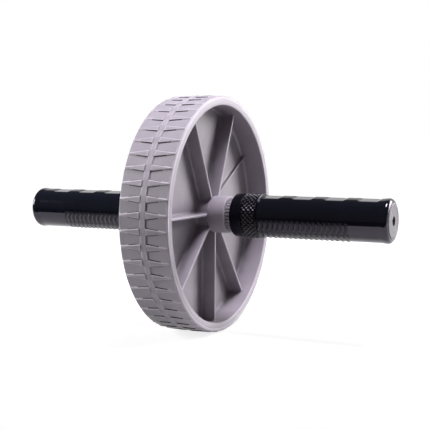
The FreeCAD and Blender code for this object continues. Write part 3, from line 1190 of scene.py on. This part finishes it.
@dataclass(frozen=True)
class PhotoCamera:
    """Camera that stands where the photograph was taken."""

    azimuth: float = 26.97
    elevation: float = 5.11
    roll: float = -0.21
    distance: float = 714.4
    focal_pixels: float = 928.2
    centre_pixels: Pair = (201.44, 213.34)
    frame_pixels: float = 430.0
    sensor: float = 36.0

    def build(self) -> None:
        """Make the camera and use it."""
        turn, lift, roll = (math.radians(angle) for angle in (self.azimuth, self.elevation, self.roll))
        back = Vector((math.sin(turn) * math.cos(lift), -math.cos(turn) * math.cos(lift), math.sin(lift)))
        level = Vector((math.cos(turn), math.sin(turn), 0.0))
        upright = back.cross(level)
        right = level * math.cos(roll) + upright * math.sin(roll)
        up = upright * math.cos(roll) - level * math.sin(roll)
        data = bpy.data.cameras.new("photo_camera")
        data.sensor_width = self.sensor
        data.lens = self.focal_pixels / self.frame_pixels * self.sensor
        middle = self.frame_pixels / 2.0
        data.shift_x = (middle - self.centre_pixels[0]) / self.frame_pixels
        data.shift_y = (self.centre_pixels[1] - middle) / self.frame_pixels
        camera = bpy.data.objects.new("photo_camera", data)
        facing = Matrix((right, up, back)).transposed().to_4x4()
        camera.matrix_world = Matrix.Translation(back * self.distance * MM) @ facing
        bpy.context.scene.collection.objects.link(camera)
        bpy.context.scene.camera = camera


@dataclass(frozen=True)
class Softbox:
    """Square soft light that faces the middle of the object.

    Its level is the brightness of a white card that it lights squarely. Its lengths are in metres.
    """

    name: str
    towards: tuple[float, float, float]
    level: float
    size: float
    distance: float = 1.1
    tint: Colour = (1.0, 1.0, 1.0)

    def build(self) -> None:
        """Hang the light."""
        data = bpy.data.lights.new(self.name, "AREA")
        data.color = self.tint
        data.size = self.size
        data.energy = self.level * (math.pi * self.distance) ** 2
        lamp = bpy.data.objects.new(self.name, data)
        way = Vector(self.towards).normalized()
        lamp.location = way * self.distance
        lamp.rotation_euler = (-way).to_track_quat("-Z", "Y").to_euler()
        bpy.context.scene.collection.objects.link(lamp)


@dataclass
class Studio:
    """White sweep, dim room in front of it, and soft lights round the object, all in metres."""

    lights: tuple[Softbox, ...] = (
        Softbox("right_softbox", (0.25, 0.02, 0.97), 1.2, 0.34, tint=(0.94, 0.92, 1.0)),
        Softbox("back_softbox", (0.66, 0.68, 0.32), 0.85, 0.5),
        Softbox("left_softbox", (-0.84, -0.42, 0.34), 0.95, 0.4),
    )
    sky: float = 0.04
    sky_tint: Colour = (1.0, 0.99, 1.0)
    bounce: float = 0.34
    floor_albedo: float = 0.4
    floor_glow: float = 0.8
    glow_near: float = 0.4
    glow_far: float = 1.6
    sweep_front: float = 0.185
    reach: float = 12.0
    room_front: float = 1.6
    room_height: float = 1.9
    room_glow: float = 0.13
    front_glow: float = 0.06
    room_bounce: float = 0.02

    def show(self, tree: bpy.types.NodeTree, hidden: Socket, shown: Socket, output: str) -> None:
        """Show one shader to the camera, mirrors and glass, and another to the other rays.

        Args:
            tree: The node tree to work in.
            hidden: The shader for the other rays.
            shown: The shader for the camera, mirrors and glass.
            output: Name of the tree's output node.
        """
        path = tree.nodes.new("ShaderNodeLightPath")
        seen = path.outputs["Is Camera Ray"]
        for kind in ("Is Glossy Ray", "Is Transmission Ray"):
            either = tree.nodes.new("ShaderNodeMath")
            either.operation = "MAXIMUM"
            tree.links.new(seen, either.inputs[0])
            tree.links.new(path.outputs[kind], either.inputs[1])
            seen = either.outputs["Value"]
        mix = tree.nodes.new("ShaderNodeMixShader")
        for source, socket in zip((seen, hidden, shown), mix.inputs):
            tree.links.new(source, socket)
        tree.links.new(mix.outputs["Shader"], tree.nodes[output].inputs["Surface"])

    def world(self) -> None:
        """White backdrop for what the camera and mirrors see, and an even glow for the rest."""
        world = bpy.data.worlds.new("white_backdrop")
        bpy.context.scene.world = world
        world.use_nodes = True
        nodes = world.node_tree.nodes
        white = nodes["Background"]
        white.inputs["Color"].default_value = WHITE
        glow = nodes.new("ShaderNodeBackground")
        glow.inputs["Color"].default_value = (*self.sky_tint, 1.0)
        glow.inputs["Strength"].default_value = self.sky
        self.show(world.node_tree, glow.outputs["Background"], white.outputs["Background"], "World Output")

    def panel(self, name: str, start: Pair, end: Pair, material: Material) -> None:
        """Make one flat panel of the set, as wide as the set.

        Args:
            name: The panel's name.
            start: Y and Z of its first edge.
            end: Y and Z of the opposite edge.
            material: Its material.
        """
        wide = self.reach
        corners = [(-wide, *start), (wide, *start), (wide, *end), (-wide, *end)]
        mesh = bpy.data.meshes.new(name)
        mesh.from_pydata(corners, [], [(0, 1, 2, 3)])
        mesh.materials.append(material)
        panel = bpy.data.objects.new(name, mesh)
        bpy.context.scene.collection.objects.link(panel)

    def sweep_material(self) -> Material:
        """Make a pale floor that reads as white to the camera and keeps the shadow.

        Returns:
            The new material.
        """
        sheet = NodeSheet("pale_sweep")
        nodes, links = sheet.tree.nodes, sheet.tree.links
        bare = nodes.new("ShaderNodeBsdfDiffuse")
        bare.inputs["Color"].default_value = (self.bounce,) * 3 + (1.0,)
        thin = nodes.new("ShaderNodeBsdfDiffuse")
        thin.inputs["Color"].default_value = (self.floor_albedo,) * 3 + (1.0,)
        away = nodes.new("ShaderNodeVectorMath")
        away.operation = "LENGTH"
        links.new(sheet.place, away.inputs[0])
        level = sheet.span(away.outputs["Value"], (self.glow_near, self.glow_far), self.floor_glow)
        glow = nodes.new("ShaderNodeEmission")
        links.new(level, glow.inputs["Strength"])
        both = nodes.new("ShaderNodeAddShader")
        links.new(thin.outputs["BSDF"], both.inputs[0])
        links.new(glow.outputs["Emission"], both.inputs[1])
        self.show(sheet.tree, bare.outputs["BSDF"], both.outputs["Shader"], "Material Output")
        nodes.remove(sheet.shader)
        return sheet.material

    def room_material(self, name: str, mirrored_glow: float) -> Material:
        """Make a dim part of the room, white only where the camera looks straight at it.

        Args:
            name: The material's name.
            mirrored_glow: How bright the part looks in glossy surfaces.

        Returns:
            The new material.
        """
        sheet = NodeSheet(name)
        nodes, links = sheet.tree.nodes, sheet.tree.links
        path = nodes.new("ShaderNodeLightPath")
        mirrored = sheet.span(path.outputs["Is Glossy Ray"], (0.0, 1.0), self.room_bounce, mirrored_glow)
        level = nodes.new("ShaderNodeMapRange")
        links.new(mirrored, level.inputs["To Min"])
        links.new(path.outputs["Is Camera Ray"], level.inputs["Value"])
        glow = nodes.new("ShaderNodeEmission")
        links.new(level.outputs["Result"], glow.inputs["Strength"])
        links.new(glow.outputs["Emission"], nodes["Material Output"].inputs["Surface"])
        nodes.remove(sheet.shader)
        return sheet.material

    def build(self) -> None:
        """Set up the studio."""
        bpy.context.scene.view_settings.view_transform = "Standard"
        self.world()
        floor, top = CAD_BOX[0].z, self.room_height
        edge, front = -self.sweep_front, -self.room_front
        room = self.room_material("dim_room", self.room_glow)
        dark_floor = self.room_material("dark_front_floor", self.front_glow)
        self.panel("floor", (edge, floor), (self.reach, floor), self.sweep_material())
        self.panel("front_floor", (front, floor), (edge, floor), dark_floor)
        self.panel("front_wall", (front, floor), (front, top), room)
        self.panel("ceiling", (front, top), (-front, top), room)
        for light in self.lights:
            light.build()


def main() -> None:
    """Build and dress every piece, then the studio."""
    logging.basicConfig(level=logging.INFO, format="%(name)s: %(message)s")
    Tyre().build()
    WheelBody().build()
    grips = {
        Side.LEFT: Grip(Side.LEFT, scoop_margin=24.0, pad_length=65.0),
        Side.RIGHT: Grip(Side.RIGHT, scoop_margin=16.35, pad_length=69.5),
    }
    for side in Side:
        SpacerRing(side).build()
        HandleCore(side).build()
        KnurledCollar(side).build()
        grips[side].build()
        EndCap(side).build()
    InnerFittings().build()
    PhotoCamera().build()
    Studio().build()


if __name__ == "__main__":
    main()
